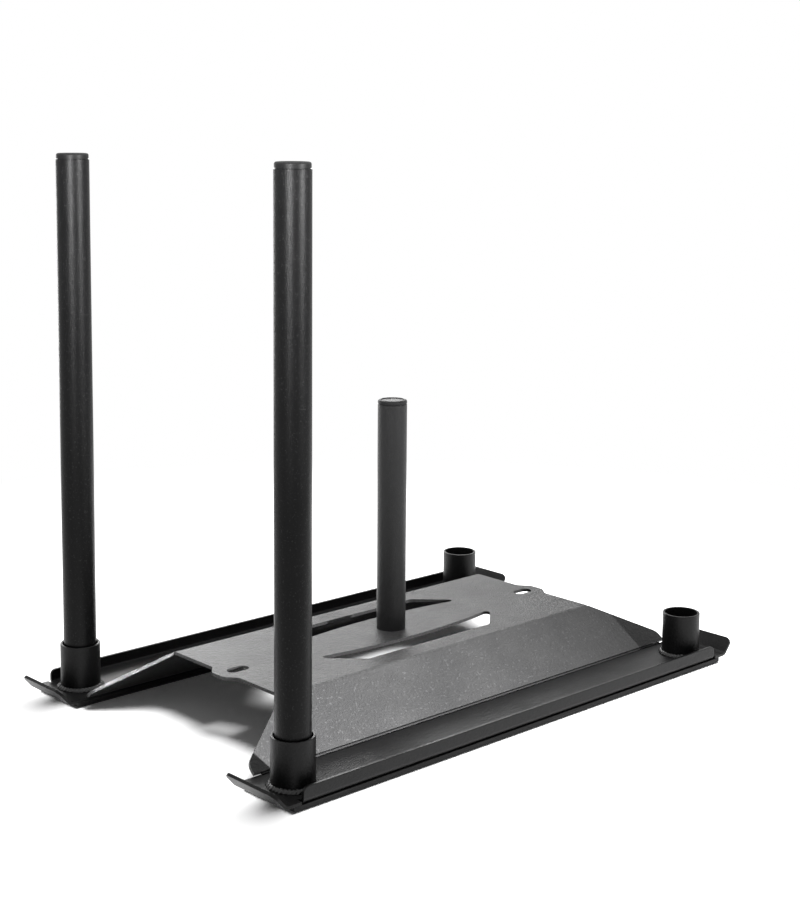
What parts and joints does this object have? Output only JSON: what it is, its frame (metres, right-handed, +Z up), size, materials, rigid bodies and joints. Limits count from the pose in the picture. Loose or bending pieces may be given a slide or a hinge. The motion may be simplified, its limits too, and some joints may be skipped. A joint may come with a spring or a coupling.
{
  "type": "push sled",
  "caption": "Push sled for conditioning: skid rails, a raised bent-sheet deck with a plate post, corner sockets and upright push poles that lift out.",
  "frame": {"origin": "on the floor, under the centre of the sled", "axes": "+X is the direction of pushing, with the push poles at the -X end; +Y is the left side; +Z is up"},
  "size_m": [0.9784, 0.624, 0.837],
  "materials": {
    "frame_paint": "satin textured powder coat",
    "runner_paint": "satin powder coat, worn under the sled",
    "pole_paint": "satin textured powder coat",
    "weld_paint": "satin powder coat over weld beads",
    "cap_plastic": "matte"
  },
  "bodies": {
    "sled": {"deck_plate": "frame_paint", "skid_tray_left": "frame_paint", "skid_tray_right": "frame_paint", "runner_left": "runner_paint", "runner_right": "runner_paint", "socket_rear_left": "frame_paint", "socket_rear_right": "frame_paint", "socket_front_left": "frame_paint", "socket_front_right": "frame_paint", "plate_post": "frame_paint", "plate_post_cap": "cap_plastic", "weld_socket_rear_left": "weld_paint", "weld_socket_rear_right": "weld_paint", "weld_socket_front_left": "weld_paint", "weld_socket_front_right": "weld_paint", "weld_post": "weld_paint", "weld_seam_left": "weld_paint", "weld_seam_right": "weld_paint"},
    "pole_left": {"push_pole_left": "pole_paint", "pole_cap_left": "cap_plastic"},
    "pole_right": {"push_pole_right": "pole_paint", "pole_cap_right": "cap_plastic"}
  },
  "joints": [
    {"name": "pole_left_lift", "type": "slide", "parent": "sled", "child": "pole_left", "axis": [0, 0, 1], "range_m": [0, 0.09]},
    {"name": "pole_right_lift", "type": "slide", "parent": "sled", "child": "pole_right", "axis": [0, 0, 1], "range_m": [0, 0.09]}
  ]
}
